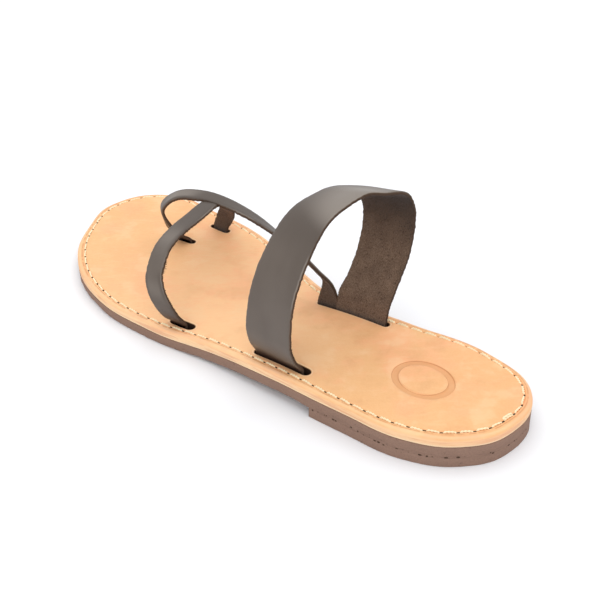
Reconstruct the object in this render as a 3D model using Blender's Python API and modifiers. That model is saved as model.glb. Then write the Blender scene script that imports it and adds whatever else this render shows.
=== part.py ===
"""Leather slide sandal for the left foot.

A tan leather footbed lies on a brown rubber sheet with a heel lift below it.
A wide instep strap and two narrow toe straps go through slots in the footbed.

+Y points to the toe, +X to the inner side of the foot and +Z up.
The origin is on the floor, midway along and across the sandal.
The tables below are in millimetres, measured from the back of the heel.
"""

import math

import bmesh
import bpy
import numpy as np
from mathutils import Vector

MM = 0.001

# Driving sizes, in millimetres
SOLE_LENGTH = 255.0
CENTRE_X = -0.5
LEATHER_SOLE = 4.4
RUBBER_SHEET = 4.3
HEEL_RISE = 4.9
GAP = 0.3

# The sheet is level over the lift, slopes down through the waist and rolls up a little at the toe
HEEL_BREAST = 71.0
WAIST_START = 80.0
WAIST_END = 155.0
ROLL_START = 205.0
TOE_SPRING = 0.6

LEATHER_EDGE_ROUND = 0.7
RUBBER_EDGE_ROUND = 0.4

STRAP_THICKNESS = 2.0
LEG_LIFT = 0.4

# Fineness of the facets
OUTLINE_STEPS = 6
WAIST_CUTS = 13
TOE_CUTS = 5
SLOT_END_STEPS = 6
STRAP_STEPS_PER_SECTION = 5
EDGE_ROUND_STEPS = 2
SMOOTH_ANGLE = 40.0
SHARP_ANGLE = 60.0

# Sizes of the working bodies
SLOT_CUTTER_HEIGHT = 60.0
WELD_DISTANCE = 0.001

# Columns: place on the foot, x, y
OUTLINE = (
    ("heel back", 0.0, 0.3),
    ("heel, inner corner", 23.5, 6.5),
    ("heel, inner side", 32.5, 32.0),
    ("seat, inner side", 28.0, 70.0),
    ("waist, inner side", 23.5, 105.5),
    ("behind the ball, inner side", 34.5, 145.5),
    ("ball, inner side", 43.5, 178.0),
    ("big toe, side", 44.5, 208.0),
    ("big toe, corner", 40.0, 240.5),
    ("toe tip", 14.0, 255.0),
    ("third toe", -10.5, 245.0),
    ("fourth toe", -31.5, 226.0),
    ("little toe", -44.5, 194.0),
    ("ball, outer side", -44.5, 160.0),
    ("waist front, outer side", -39.0, 125.0),
    ("waist, outer side", -37.0, 91.5),
    ("seat, outer side", -34.0, 55.0),
    ("heel, outer side", -30.0, 28.0),
    ("heel, outer corner", -18.0, 9.0),
)

# Columns: name, width, x and y of the front end, x and y of the back end
SLOTS = (
    ("slot_outer_toe", 4.2, -35.4, 153.1, -33.9, 140.2),
    ("slot_toe_post", 3.2, 13.4, 206.3, 15.8, 194.6),
    ("slot_inner_toe", 3.2, 33.4, 201.6, 34.3, 188.8),
    ("slot_outer_instep", 4.2, -29.5, 106.6, -27.6, 77.8),
    ("slot_inner_instep", 3.2, 15.1, 112.0, 20.0, 75.0),
)

# Strap sections in the middle of the leather, from the outer slot to the inner one or from toe to instep
# Columns: x, y and z of the front edge, x, y and z of the back edge
INSTEP_SECTIONS = (
    (-30.1, 105.0, 13.2, -28.6, 80.2, 14.4),
    (-33.7, 105.4, 20.8, -33.3, 80.4, 21.4),
    (-34.8, 105.6, 29.5, -35.6, 80.6, 29.8),
    (-31.1, 105.3, 46.5, -34.0, 80.5, 47.3),
    (-22.6, 104.5, 61.2, -26.7, 80.0, 63.8),
    (-10.3, 103.7, 71.7, -14.2, 79.7, 77.5),
    (5.2, 102.2, 74.3, 3.8, 78.4, 81.6),
    (13.2, 101.6, 73.4, 13.5, 77.7, 79.9),
    (20.9, 100.9, 70.4, 22.8, 77.0, 77.4),
    (27.4, 100.2, 65.0, 30.5, 76.3, 71.2),
    (30.0, 99.8, 57.2, 33.9, 75.6, 62.0),
    (29.3, 100.6, 43.1, 31.3, 75.8, 43.8),
    (23.3, 101.2, 28.8, 24.0, 76.3, 28.6),
    (18.6, 101.6, 21.0, 20.9, 76.8, 21.0),
    (16.5, 101.4, 13.4, 19.8, 77.0, 14.4),
)
CROSS_SECTIONS = (
    (-36.0, 151.5, 9.5, -35.0, 143.3, 9.8),
    (-40.4, 151.7, 14.3, -39.0, 143.7, 16.3),
    (-43.4, 153.2, 20.0, -41.2, 145.8, 23.1),
    (-44.1, 156.1, 25.9, -41.4, 149.0, 29.4),
    (-41.9, 159.7, 31.3, -38.8, 152.5, 34.5),
    (-31.0, 166.5, 37.8, -27.9, 158.9, 39.6),
    (-17.3, 172.0, 39.3, -14.5, 164.1, 40.0),
    (-3.4, 176.6, 38.9, -0.6, 168.7, 39.0),
    (10.2, 181.6, 37.6, 13.4, 173.9, 37.8),
    (23.3, 186.9, 33.1, 26.2, 179.2, 31.6),
    (32.2, 193.0, 23.2, 34.4, 185.5, 20.1),
    (33.8, 196.8, 17.0, 35.3, 188.5, 14.2),
    (33.5, 199.6, 9.5, 34.2, 190.9, 9.5),
)
LONG_SECTIONS = (
    (13.9, 203.9, 9.5, 15.4, 196.2, 9.5),
    (10.9, 204.5, 13.5, 10.7, 196.8, 13.8),
    (8.4, 206.0, 18.6, 6.6, 198.4, 18.6),
    (7.4, 206.4, 29.7, 2.5, 200.5, 29.0),
    (11.8, 198.8, 37.1, 5.2, 194.7, 36.6),
    (17.7, 187.2, 38.9, 10.5, 184.2, 38.4),
    (21.2, 175.1, 38.0, 13.6, 173.8, 38.4),
    (21.2, 156.7, 36.1, 13.9, 157.1, 38.8),
    (18.7, 139.4, 33.7, 12.5, 139.3, 38.4),
    (17.3, 123.8, 28.9, 12.6, 121.0, 34.4),
    (18.4, 115.5, 23.9, 13.9, 110.7, 28.2),
    (18.8, 112.7, 20.7, 15.0, 106.8, 23.9),
    (15.3, 110.8, 12.8, 16.3, 103.1, 13.2),
)

# Colours as linear RGB, with roughness
TAN_LEATHER = ((0.68, 0.39, 0.19), 0.55)
TAUPE_LEATHER = ((0.075, 0.062, 0.055), 0.5)
BROWN_RUBBER = ((0.17, 0.10, 0.075), 0.8)


def at(x, y, z):
    """Point of the tables in the sandal's own frame."""
    return Vector((x - CENTRE_X, y - SOLE_LENGTH / 2, z)) * MM


def smoothstep(t):
    t = min(max(t, 0.0), 1.0)
    return t * t * (3 - 2 * t)


def sheet_rise(y):
    """Height of the rubber sheet's underside above the floor."""
    slope = HEEL_RISE * smoothstep((WAIST_END - y) / (WAIST_END - WAIST_START))
    roll = max(0.0, (y - ROLL_START) / (SOLE_LENGTH - ROLL_START))
    return slope + TOE_SPRING * roll ** 2


def footbed_underside(y):
    return sheet_rise(y) + RUBBER_SHEET + GAP


def new_collection(name):
    collection = bpy.data.collections.new(name)
    bpy.context.scene.collection.children.link(collection)
    return collection


def new_material(name, finish):
    colour, roughness = finish
    material = bpy.data.materials.new(name)
    material.use_nodes = True
    shader = material.node_tree.nodes["Principled BSDF"]
    shader.inputs["Base Color"].default_value = (*colour, 1.0)
    shader.inputs["Roughness"].default_value = roughness
    shader.inputs["Metallic"].default_value = 0.0
    return material


def mesh_of_curve(curve_object, name):
    """Closed mesh of an extruded flat curve, which is removed."""
    evaluated = curve_object.evaluated_get(bpy.context.evaluated_depsgraph_get())
    mesh = bpy.data.meshes.new_from_object(evaluated)
    mesh.name = name
    matrix = curve_object.matrix_world.copy()
    bpy.data.objects.remove(curve_object)
    bm = bmesh.new()
    bm.from_mesh(mesh)
    bmesh.ops.remove_doubles(bm, verts=bm.verts, dist=WELD_DISTANCE * MM)
    bmesh.ops.recalc_face_normals(bm, faces=bm.faces)
    bm.to_mesh(mesh)
    bm.free()
    solid = bpy.data.objects.new(name, mesh)
    solid.matrix_world = matrix
    return solid


def flat_curve(name, thickness):
    """Empty flat curve that fills and extrudes to a plate of the given thickness in metres."""
    curve = bpy.data.curves.new(name, "CURVE")
    curve.dimensions = "2D"
    curve.fill_mode = "BOTH"
    curve.extrude = thickness / 2
    curve_object = bpy.data.objects.new(name, curve)
    bpy.context.scene.collection.objects.link(curve_object)
    return curve_object


def sole_plate(name, thickness):
    """Plate with the sole's outline, its underside at height zero."""
    curve_object = flat_curve(name + "_outline", thickness * MM)
    curve_object.location.z = thickness * MM / 2
    curve_object.data.resolution_u = OUTLINE_STEPS
    spline = curve_object.data.splines.new("BEZIER")
    spline.bezier_points.add(len(OUTLINE) - 1)
    spline.use_cyclic_u = True
    for point, (_, x, y) in zip(spline.bezier_points, OUTLINE):
        point.co = at(x, y, 0)
        point.handle_left_type = "AUTO"
        point.handle_right_type = "AUTO"
    bpy.context.view_layer.update()
    return mesh_of_curve(curve_object, name)


def bend_over_heel(plate, underside):
    """Lifts a sole plate so that its underside follows the given height along the foot."""
    mesh = plate.data
    bm = bmesh.new()
    bm.from_mesh(mesh)
    waist_cuts = np.linspace(WAIST_START, WAIST_END, WAIST_CUTS)
    toe_cuts = np.linspace(ROLL_START, SOLE_LENGTH, TOE_CUTS, endpoint=False)
    for y in (*waist_cuts, *toe_cuts):
        geometry = [*bm.verts, *bm.edges, *bm.faces]
        place = at(0, y, 0)
        bmesh.ops.bisect_plane(bm, geom=geometry, dist=WELD_DISTANCE * MM, plane_co=place, plane_no=(0, 1, 0))
    for vert in bm.verts:
        y = vert.co.y / MM + SOLE_LENGTH / 2
        vert.co.z += plate.location.z + underside(y) * MM
    bm.to_mesh(mesh)
    bm.free()
    plate.location.z = 0


def add_bevel(piece, width):
    bevel = piece.modifiers.new("rounded edges", "BEVEL")
    bevel.width = width * MM
    bevel.segments = EDGE_ROUND_STEPS
    bevel.limit_method = "ANGLE"
    bevel.angle_limit = math.radians(SHARP_ANGLE)


def add_boolean(piece, other, operation):
    boolean = piece.modifiers.new(other.name, "BOOLEAN")
    boolean.operation = operation
    boolean.solver = "EXACT"
    boolean.object = other


def as_cutter(cutter):
    cutter.hide_render = True
    cutter.display_type = "WIRE"
    cutters.objects.link(cutter)
    return cutter


def slot_cutter(name, width, front, back):
    """Upright prism with round ends that cuts one slot through the footbed."""
    run = back - front
    direction = run.normalized()
    side = Vector((-direction.y, direction.x, 0))
    radius = width * MM / 2
    ends = ((back - direction * radius, 0.0), (front + direction * radius, math.pi))
    curve_object = flat_curve(name + "_outline", SLOT_CUTTER_HEIGHT * MM)
    spline = curve_object.data.splines.new("POLY")
    spline.points.add(2 * (SLOT_END_STEPS + 1) - 1)
    spline.use_cyclic_u = True
    index = 0
    for centre, start in ends:
        for step in range(SLOT_END_STEPS + 1):
            angle = start - math.pi / 2 + math.pi * step / SLOT_END_STEPS
            point = centre + radius * (direction * math.cos(angle) + side * math.sin(angle))
            spline.points[index].co = (point.x, point.y, 0, 1)
            index += 1
    bpy.context.view_layer.update()
    return as_cutter(mesh_of_curve(curve_object, name))


def with_legs(sections):
    """Strap sections with the straight ends that go down through the footbed."""
    rows = np.array(sections).reshape(-1, 2, 3)
    legs = []
    for mouth in (rows[0], rows[-1]):
        foot = mouth.copy()
        foot[:, 2] = [footbed_underside(y) + LEG_LIFT for y in mouth[:, 1]]
        legs.append(foot)
    return np.concatenate([legs[:1], rows, legs[1:]])


def smooth_sections(rows, steps):
    """Sections on a smooth curve through the given ones, with the first and last span straight."""
    middle = rows.mean(axis=1)
    along = np.concatenate([[0.0], np.cumsum(np.linalg.norm(np.diff(middle, axis=0), axis=1))])
    slope = (rows[2:] - rows[:-2]) / (along[2:] - along[:-2])[:, None, None]
    out = [rows[0]]
    for k in range(1, len(rows) - 2):
        span = along[k + 1] - along[k]
        for t in np.arange(steps) / steps:
            start = (1 + 2 * t) * (1 - t) ** 2 * rows[k] + t * (1 - t) ** 2 * span * slope[k - 1]
            end = t * t * (3 - 2 * t) * rows[k + 1] + t * t * (t - 1) * span * slope[k]
            out.append(start + end)
    return np.array([*out, rows[-2], rows[-1]])


def strap(name, sections):
    """Leather strap of even thickness lofted through its sections."""
    rows = smooth_sections(with_legs(sections), STRAP_STEPS_PER_SECTION)
    bm = bmesh.new()
    bmesh.ops.create_grid(bm, x_segments=1, y_segments=len(rows) - 1, size=0.5)
    for vert in bm.verts:
        front, back = rows[round((vert.co.y + 0.5) * (len(rows) - 1))]
        across = vert.co.x + 0.5
        vert.co = at(*(front + (back - front) * across))
    mesh = bpy.data.meshes.new(name)
    bm.to_mesh(mesh)
    bm.free()
    piece = bpy.data.objects.new(name, mesh)
    wall = piece.modifiers.new("leather", "SOLIDIFY")
    wall.thickness = STRAP_THICKNESS * MM
    wall.offset = 0.0
    wall.use_even_offset = True
    return piece


def finish(piece, material):
    """Smooth shading, material and a place in the sandal's collection."""
    piece.data.shade_smooth()
    piece.data.set_sharp_from_angle(angle=math.radians(SMOOTH_ANGLE))
    piece.data.materials.clear()
    piece.data.materials.append(material)
    sandal.objects.link(piece)


def make_insole():
    insole = sole_plate("insole", LEATHER_SOLE)
    bend_over_heel(insole, footbed_underside)
    add_bevel(insole, LEATHER_EDGE_ROUND)
    for name, width, front_x, front_y, back_x, back_y in SLOTS:
        cutter = slot_cutter(name, width, at(front_x, front_y, 0), at(back_x, back_y, 0))
        add_boolean(insole, cutter, "DIFFERENCE")
    finish(insole, new_material("tan_leather", TAN_LEATHER))


def make_outsole(rubber):
    outsole = sole_plate("outsole", RUBBER_SHEET)
    bend_over_heel(outsole, sheet_rise)
    add_bevel(outsole, RUBBER_EDGE_ROUND)
    finish(outsole, rubber)


def make_heel_lift(rubber):
    lift = sole_plate("heel_lift", HEEL_RISE - GAP)
    block = bmesh.new()
    bmesh.ops.create_cube(block, size=SOLE_LENGTH * MM)
    breast_mesh = bpy.data.meshes.new("heel_breast")
    block.to_mesh(breast_mesh)
    block.free()
    breast = bpy.data.objects.new("heel_breast", breast_mesh)
    breast.location = at(CENTRE_X, HEEL_BREAST + SOLE_LENGTH / 2, 0)
    add_boolean(lift, as_cutter(breast), "DIFFERENCE")
    add_bevel(lift, RUBBER_EDGE_ROUND)
    finish(lift, rubber)


def make_straps(leather):
    finish(strap("instep_strap", INSTEP_SECTIONS), leather)
    toe_straps = strap("toe_straps", LONG_SECTIONS)
    add_boolean(toe_straps, as_cutter(strap("cross_strap", CROSS_SECTIONS)), "UNION")
    finish(toe_straps, leather)


for old in list(bpy.data.objects):
    bpy.data.objects.remove(old)

sandal = new_collection("leather_sandal")
cutters = new_collection("cutters")
brown_rubber = new_material("brown_rubber", BROWN_RUBBER)

make_insole()
make_outsole(brown_rubber)
make_heel_lift(brown_rubber)
make_straps(new_material("taupe_leather", TAUPE_LEATHER))
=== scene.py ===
"""Finish of a left leather slide sandal.

A tan footbed with a sunk seam, taupe straps with a bare flesh side and a brown rubber sole with a low heel.
+Y points to the toe, +X to the inner side of the foot and +Z up.
Shapes are worked out in millimetres from the back of the heel, on the foot's own centre line.
"""

import math

import bmesh
import bpy
import numpy as np
from bmesh.types import BMEdge, BMFace, BMVert
from bpy.props import FloatProperty, FloatVectorProperty, PointerProperty
from bpy.types import Operator, Panel, PropertyGroup
from mathutils import Matrix, Vector, geometry


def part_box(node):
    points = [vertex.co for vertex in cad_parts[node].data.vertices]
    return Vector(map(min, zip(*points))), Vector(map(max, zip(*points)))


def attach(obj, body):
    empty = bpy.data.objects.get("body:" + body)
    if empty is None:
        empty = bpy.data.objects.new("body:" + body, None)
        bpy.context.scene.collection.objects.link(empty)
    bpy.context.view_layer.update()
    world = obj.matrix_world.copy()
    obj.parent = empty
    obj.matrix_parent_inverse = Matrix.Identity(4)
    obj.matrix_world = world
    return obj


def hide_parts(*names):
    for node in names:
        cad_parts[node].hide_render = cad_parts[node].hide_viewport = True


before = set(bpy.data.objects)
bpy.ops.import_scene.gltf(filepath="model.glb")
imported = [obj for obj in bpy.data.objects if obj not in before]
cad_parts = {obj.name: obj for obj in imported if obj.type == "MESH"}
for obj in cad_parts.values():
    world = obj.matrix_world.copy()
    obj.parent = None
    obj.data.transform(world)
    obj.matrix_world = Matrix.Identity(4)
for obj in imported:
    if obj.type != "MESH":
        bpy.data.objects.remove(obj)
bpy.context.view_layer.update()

bl_info = {
    "name": "Leather Slide Sandal",
    "version": (1, 0, 0),
    "blender": (4, 5, 0),
    "location": "View3D > Sidebar > Sandal",
    "description": "Builds the leather, thread and rubber of a slide sandal round its frame",
    "category": "Add Mesh",
}

MM = 0.001
BODY = "root"

# The layers of the sole, read from the frame
LAYER_GAP = 0.3
SOLE_LENGTH = (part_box("insole")[1].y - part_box("insole")[0].y) / MM
HEEL_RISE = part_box("heel_lift")[1].z / MM + LAYER_GAP
RUBBER_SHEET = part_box("outsole")[1].z / MM - HEEL_RISE
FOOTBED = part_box("insole")[1].z / MM - HEEL_RISE - RUBBER_SHEET - LAYER_GAP
GLUE_LINE = 0.02

# The sole is level over the lift, slopes down through the waist and rolls up a little at the toe
CENTRE_X = -0.5
HEEL_BREAST = 71.0
WAIST_START = 80.0
WAIST_END = 155.0
ROLL_START = 205.0
TOE_SPRING = 0.6

# Columns: place on the foot, x, y
OUTLINE = (
    ("heel back", 0.0, 0.3),
    ("heel, inner corner", 23.5, 6.5),
    ("heel, inner side", 32.5, 32.0),
    ("seat, inner side", 28.0, 70.0),
    ("waist, inner side", 23.5, 105.5),
    ("behind the ball, inner side", 34.5, 145.5),
    ("ball, inner side", 43.5, 178.0),
    ("big toe, side", 44.5, 208.0),
    ("big toe, corner", 40.0, 240.5),
    ("toe tip", 14.0, 255.0),
    ("third toe", -10.5, 245.0),
    ("fourth toe", -31.5, 226.0),
    ("little toe", -44.5, 194.0),
    ("ball, outer side", -44.5, 160.0),
    ("waist front, outer side", -39.0, 125.0),
    ("waist, outer side", -37.0, 91.5),
    ("seat, outer side", -34.0, 55.0),
    ("heel, outer side", -30.0, 28.0),
    ("heel, outer corner", -18.0, 9.0),
)

# Columns: name, width, x and y of the front end, x and y of the back end
SLOTS = (
    ("outer toe", 4.2, -35.4, 153.1, -33.9, 140.2),
    ("toe post", 3.2, 13.4, 206.3, 15.8, 194.6),
    ("inner toe", 3.2, 33.4, 201.2, 34.2, 189.8),
    ("outer instep", 4.2, -29.5, 106.6, -27.6, 77.8),
    ("inner instep", 3.2, 15.1, 112.0, 19.9, 75.8),
)

# The seam, round the sole from the heel
# Columns: x and y of a place near the edge, distance from the edge, share of the full needle hole that shows
SEAM = (
    (0.0, 0.0, 4.0, 1.0),
    (23.0, 8.0, 3.1, 0.65),
    (31.0, 28.0, 2.6, 0.3),
    (28.0, 55.0, 2.9, 0.2),
    (24.0, 78.0, 3.9, 0.2),
    (23.5, 105.0, 3.8, 0.2),
    (34.0, 145.0, 3.6, 0.25),
    (43.0, 178.0, 3.5, 0.35),
    (44.5, 208.0, 3.4, 0.6),
    (40.0, 240.0, 2.8, 0.8),
    (25.0, 252.0, 2.7, 0.8),
    (10.0, 254.0, 3.6, 0.7),
    (-8.0, 246.0, 2.9, 0.7),
    (-25.0, 232.0, 3.7, 0.7),
    (-38.0, 210.0, 3.6, 0.8),
    (-44.0, 185.0, 3.1, 0.9),
    (-45.0, 165.0, 2.8, 0.9),
    (-42.0, 145.0, 3.5, 0.8),
    (-38.0, 120.0, 3.8, 0.7),
    (-37.0, 95.0, 3.6, 0.6),
    (-35.0, 70.0, 3.4, 0.7),
    (-33.0, 50.0, 2.9, 0.9),
    (-28.0, 25.0, 3.6, 1.0),
    (-18.0, 9.0, 4.1, 1.0),
)
SEAM_INSET = 2
SEAM_HOLE = 3

# Strap sections in the middle of the leather, from the outer slot to the inner one or from toe to instep
# Columns: x, y and z of the front edge, x, y and z of the back edge
INSTEP_SECTIONS = (
    (-30.1, 105.0, 13.2, -28.6, 80.2, 14.4),
    (-33.7, 105.4, 20.8, -33.3, 80.4, 21.4),
    (-34.8, 105.6, 29.5, -35.6, 80.6, 29.8),
    (-31.1, 105.3, 46.5, -34.0, 80.5, 47.3),
    (-22.6, 104.5, 61.2, -26.7, 80.0, 63.8),
    (-10.3, 103.7, 71.7, -14.2, 79.7, 77.5),
    (5.2, 102.2, 74.3, 3.8, 78.4, 81.6),
    (13.2, 101.6, 73.4, 13.5, 77.7, 79.9),
    (20.9, 100.9, 70.4, 22.8, 77.0, 77.4),
    (27.4, 100.2, 65.0, 30.5, 76.3, 71.2),
    (30.0, 99.8, 57.2, 33.9, 75.6, 62.0),
    (29.3, 100.6, 43.1, 31.3, 75.8, 43.8),
    (23.3, 101.2, 28.8, 24.0, 76.3, 28.6),
    (18.4, 102.4, 21.0, 20.9, 76.8, 21.0),
    (16.4, 102.4, 13.4, 19.8, 77.0, 14.4),
)
CROSS_SECTIONS = (
    (-36.0, 151.5, 9.5, -35.0, 143.3, 9.8),
    (-40.4, 151.7, 14.3, -39.0, 143.7, 16.3),
    (-43.4, 153.2, 20.0, -41.2, 145.8, 23.1),
    (-44.1, 156.1, 25.9, -41.4, 149.0, 29.4),
    (-41.9, 159.7, 31.3, -38.8, 152.5, 34.5),
    (-31.0, 166.5, 37.8, -27.9, 158.9, 39.6),
    (-17.3, 172.0, 39.3, -14.5, 164.1, 40.0),
    (-3.4, 176.6, 38.9, -0.6, 168.7, 39.0),
    (10.2, 181.6, 37.6, 13.4, 173.9, 37.8),
    (23.3, 186.9, 33.1, 26.2, 179.2, 31.6),
    (32.2, 193.0, 23.2, 34.4, 185.5, 20.1),
    (33.8, 196.8, 17.0, 35.3, 188.5, 14.2),
    (33.5, 199.6, 9.5, 34.2, 190.9, 9.5),
)
LONG_SECTIONS = (
    (13.9, 203.9, 9.5, 15.4, 196.2, 9.5),
    (10.9, 204.5, 13.5, 10.7, 196.8, 13.8),
    (8.4, 206.0, 18.6, 6.6, 198.4, 18.6),
    (7.4, 206.4, 29.7, 2.5, 200.5, 29.0),
    (11.8, 198.8, 37.1, 5.2, 194.7, 36.6),
    (17.7, 187.2, 38.9, 10.5, 184.2, 38.4),
    (21.2, 175.1, 38.0, 13.6, 173.8, 38.4),
    (21.2, 156.7, 36.6, 13.9, 157.1, 38.8),
    (18.7, 139.4, 34.3, 12.5, 139.3, 38.4),
    (17.3, 123.8, 28.9, 12.6, 121.0, 34.4),
    (18.4, 115.5, 23.9, 13.9, 110.7, 28.2),
    (18.8, 112.5, 20.7, 16.0, 104.9, 22.8),
    (15.1, 112.0, 12.8, 17.0, 101.2, 13.2),
)

# Soft dents of the straps, hollow where the depth is positive
# Columns: part of the length, part of the width from the front edge, length, width, depth
INSTEP_DENTS = (
    (0.588, 1.00, 7.6, 9.0, 1.5),
    (0.655, 1.00, 4.0, 6.0, -0.35),
    (0.77, 1.00, 13.0, 9.0, -0.45),
    (0.40, 0.55, 16.0, 11.0, 0.30),
    (0.20, 0.35, 14.0, 8.0, 0.25),
)
CROSS_DENTS = (
    (0.33, 0.50, 9.0, 4.0, 0.25),
    (0.16, 0.50, 6.0, 4.0, -0.20),
)
LONG_DENTS = (
    (0.24, 0.50, 5.0, 4.0, 0.20),
    (0.62, 0.50, 14.0, 4.0, 0.20),
)

# Shallow scuffs in the footbed
# Columns: x, y, length, width, direction in degrees, depth
SCUFFS = (
    (8.0, 66.3, 7.0, 2.0, 22.0, 0.3),
    (22.0, 28.0, 12.0, 4.0, 40.0, 0.16),
    (14.0, 18.0, 15.0, 5.0, 25.0, 0.14),
    (-22.0, 60.0, 16.0, 4.0, 100.0, 0.10),
    (4.0, 132.0, 30.0, 14.0, 80.0, 0.22),
    (-14.0, 196.0, 34.0, 16.0, 100.0, 0.18),
    (24.0, 224.0, 18.0, 13.0, 80.0, 0.22),
)
# Slight waves of the leather: depth, then the lengths of a crossed and of a slanted wave along X and Y
WAVE_DEPTH = 0.05
CROSSED_WAVE = (13, 17)
SLANTED_WAVE = (21, 9)

# Pressed oval in the heel seat
OVAL_CENTRE = (0.0, 42.0)
OVAL_RADII = (11.5, 13.5)
OVAL_BAND = 3.0
OVAL_DEPTH = 0.55

# Fineness of the meshes
BEZIER_POINTS = 60
RIM_SPACING = 1.0
SLOT_SPACING = 0.8
SLOT_ARC_POINTS = 11
OVAL_POINTS = 96
STRAP_STEPS = 18
STRAP_ACROSS = 16
PLY_SIDES = 7
PLY_STEPS = 18
PLUG_SIDES = 12
# Cuts that make the sole's flat faces small: spacing, ranges along X and Y, reach to near points
GRID_SPACING = 1.25
GRID_RANGES = ((-40.0, 42.0), (6.0, 252.0))
CUT_REACH = 1e-4
SLIVER = 0.002

# Depth of needle holes and pits, unevenness of the straps' cut edges, the power that keeps it near them,
# and the start of the random numbers
PLUG_DEPTH = 0.4
STRAP_RAGGED = 0.1
RAGGED_POWER = 6
SEED = 7

# Turn that brings the streaks of the hide in line with X
STREAK_TURN = math.radians(46)
# Linear colour of the floor's faint clouds
FLOOR_SHADE = (0.9, 0.9, 0.92)

# The view of the photograph, in metres
CAMERA_PLACE = Vector((-0.2778, -0.2824, 0.2782))
CAMERA_TARGET = Vector((0.0238, 0.0036, 0.0))
CAMERA_ROLL = math.radians(-0.47)
CAMERA_LENS = 64.6


def linear(red, green, blue):
    """Linear colour of a screen colour from 0 to 255."""
    parts = np.array((red, green, blue)) / 255
    return tuple(float(v) for v in np.where(parts > 0.04045, ((parts + 0.055) / 1.055) ** 2.4, parts / 12.92))


def length(name, description, default):
    """Size property in metres from a default in millimetres."""
    return FloatProperty(name=name, description=description, default=default * MM, unit="LENGTH", precision=5)


def colour(name, description, red, green, blue):
    """Colour property from a screen colour."""
    shade = linear(red, green, blue)
    return FloatVectorProperty(name=name, description=description, default=shade, size=3, subtype="COLOR")


class SandalSizes(PropertyGroup):
    """Sizes that the finish of the sandal is worked out from."""

    strap_leather: length("Strap leather", "Thickness of the straps", 1.5)
    strap_edge: length("Strap edge", "Radius of the straps' grain edge", 0.4)
    stitch_pitch: length("Stitch length", "Distance between two needle holes", 6.5)
    thread: length("Thread", "Thickness of the thread", 0.88)
    channel: length("Channel", "Width of the sunk seam channel", 1.55)
    channel_depth: length("Channel depth", "Depth of the sunk seam channel", 0.5)
    needle_hole: length("Needle hole", "Width of a needle hole", 1.6)
    slot_press: length("Slot press", "Depth of the pressed leather round a slot", 0.25)


class SandalColours(PropertyGroup):
    """Colours of the sandal's leather, thread and rubber, and of the light and shade painted on them."""

    tan: colour("Tan leather", "Grain of the footbed", 242, 186, 130)
    tan_deep: colour("Deep tan", "Darker clouds of the footbed", 240, 179, 123)
    tan_flush: colour("Flushed tan", "Pinkish clouds of the footbed", 253, 181, 134)
    # Also the painted highlight on the footbed's rounded shoulder
    tan_pale: colour("Pale tan", "Pale streaks of the footbed", 252, 207, 158)
    # Painted light: paler, warmer leather across the middle of the footbed, where the straps' shade falls
    tan_painted_light: colour("Warm tan", "Paler leather under the straps", 255, 201, 149)
    tan_scratch: colour("Hide streaks", "Fine pinkish streaks of the footbed", 250, 172, 126)
    tan_cut: colour("Cut edge", "Side of the footbed", 250, 210, 164)
    tan_rose: colour("Cut edge streaks", "Pinkish streaks of the footbed's side", 234, 180, 140)
    # Partly the side's own pale foot and partly painted highlight there; also the painted highlight on the
    # slots' lips and the thread's darker fibres
    tan_line: colour("Edge line", "Pale line along the foot of the footbed", 253, 226, 188)
    # In the seam channel it is partly painted shade
    pressed: colour("Pressed leather", "Pressed oval, channel and creases of the footbed", 222, 160, 108)
    pressed_line: colour("Pressed lines", "Darker lines beside pressed leather", 196, 128, 80)
    # Painted shade inside the slots
    slot_wall: colour("Slot", "Inside of the slots", 60, 40, 29)
    # Painted shade: the dark inside of the needle holes, and the straps' inside darkened up towards the
    # instep strap's top and on the toe straps
    deep_shade: colour("Burnt brown", "Needle holes and the deepest shade of the straps' inside", 34, 22, 17)
    grain: colour("Strap grain", "Outside of the straps", 97, 86, 77)
    # Also painted shade: over the toe straps' inner part and in a band just below the instep strap's top
    grain_dark: colour("Strap shade", "Darker clouds of the straps' outside", 80, 69, 61)
    # Painted highlight on the straps' grain: along the rounded edges, over the instep strap's top and on the
    # toe straps' bends
    strap_highlight: colour("Strap wear", "Paler grain along the straps' edges", 156, 146, 136)
    # Painted shade on the straps' grain where they go down into the footbed, and on the long strap's front
    # leg
    end_shade: colour("Strap fold", "Dark grain where the straps go into the footbed", 58, 40, 32)
    flesh: colour("Strap flesh", "Bare inside of the straps", 146, 121, 101)
    # Also the painted shade of the rubber's pits, and the mottle in the needle holes' painted shade
    flesh_dark: colour("Flesh shade", "Darker clouds of the straps' inside", 68, 51, 40)
    raw_edge: colour("Raw edge", "Cut edge of the straps", 96, 77, 62)
    thread: colour("Thread", "Sewing thread", 255, 238, 200)
    rubber: colour("Rubber", "Sole and heel", 150, 120, 104)
    rubber_dark: colour("Rubber pits", "Pits and cut marks of the rubber", 112, 88, 76)
    floor: colour("Floor", "Plain pale floor", 247, 247, 249)


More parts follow.
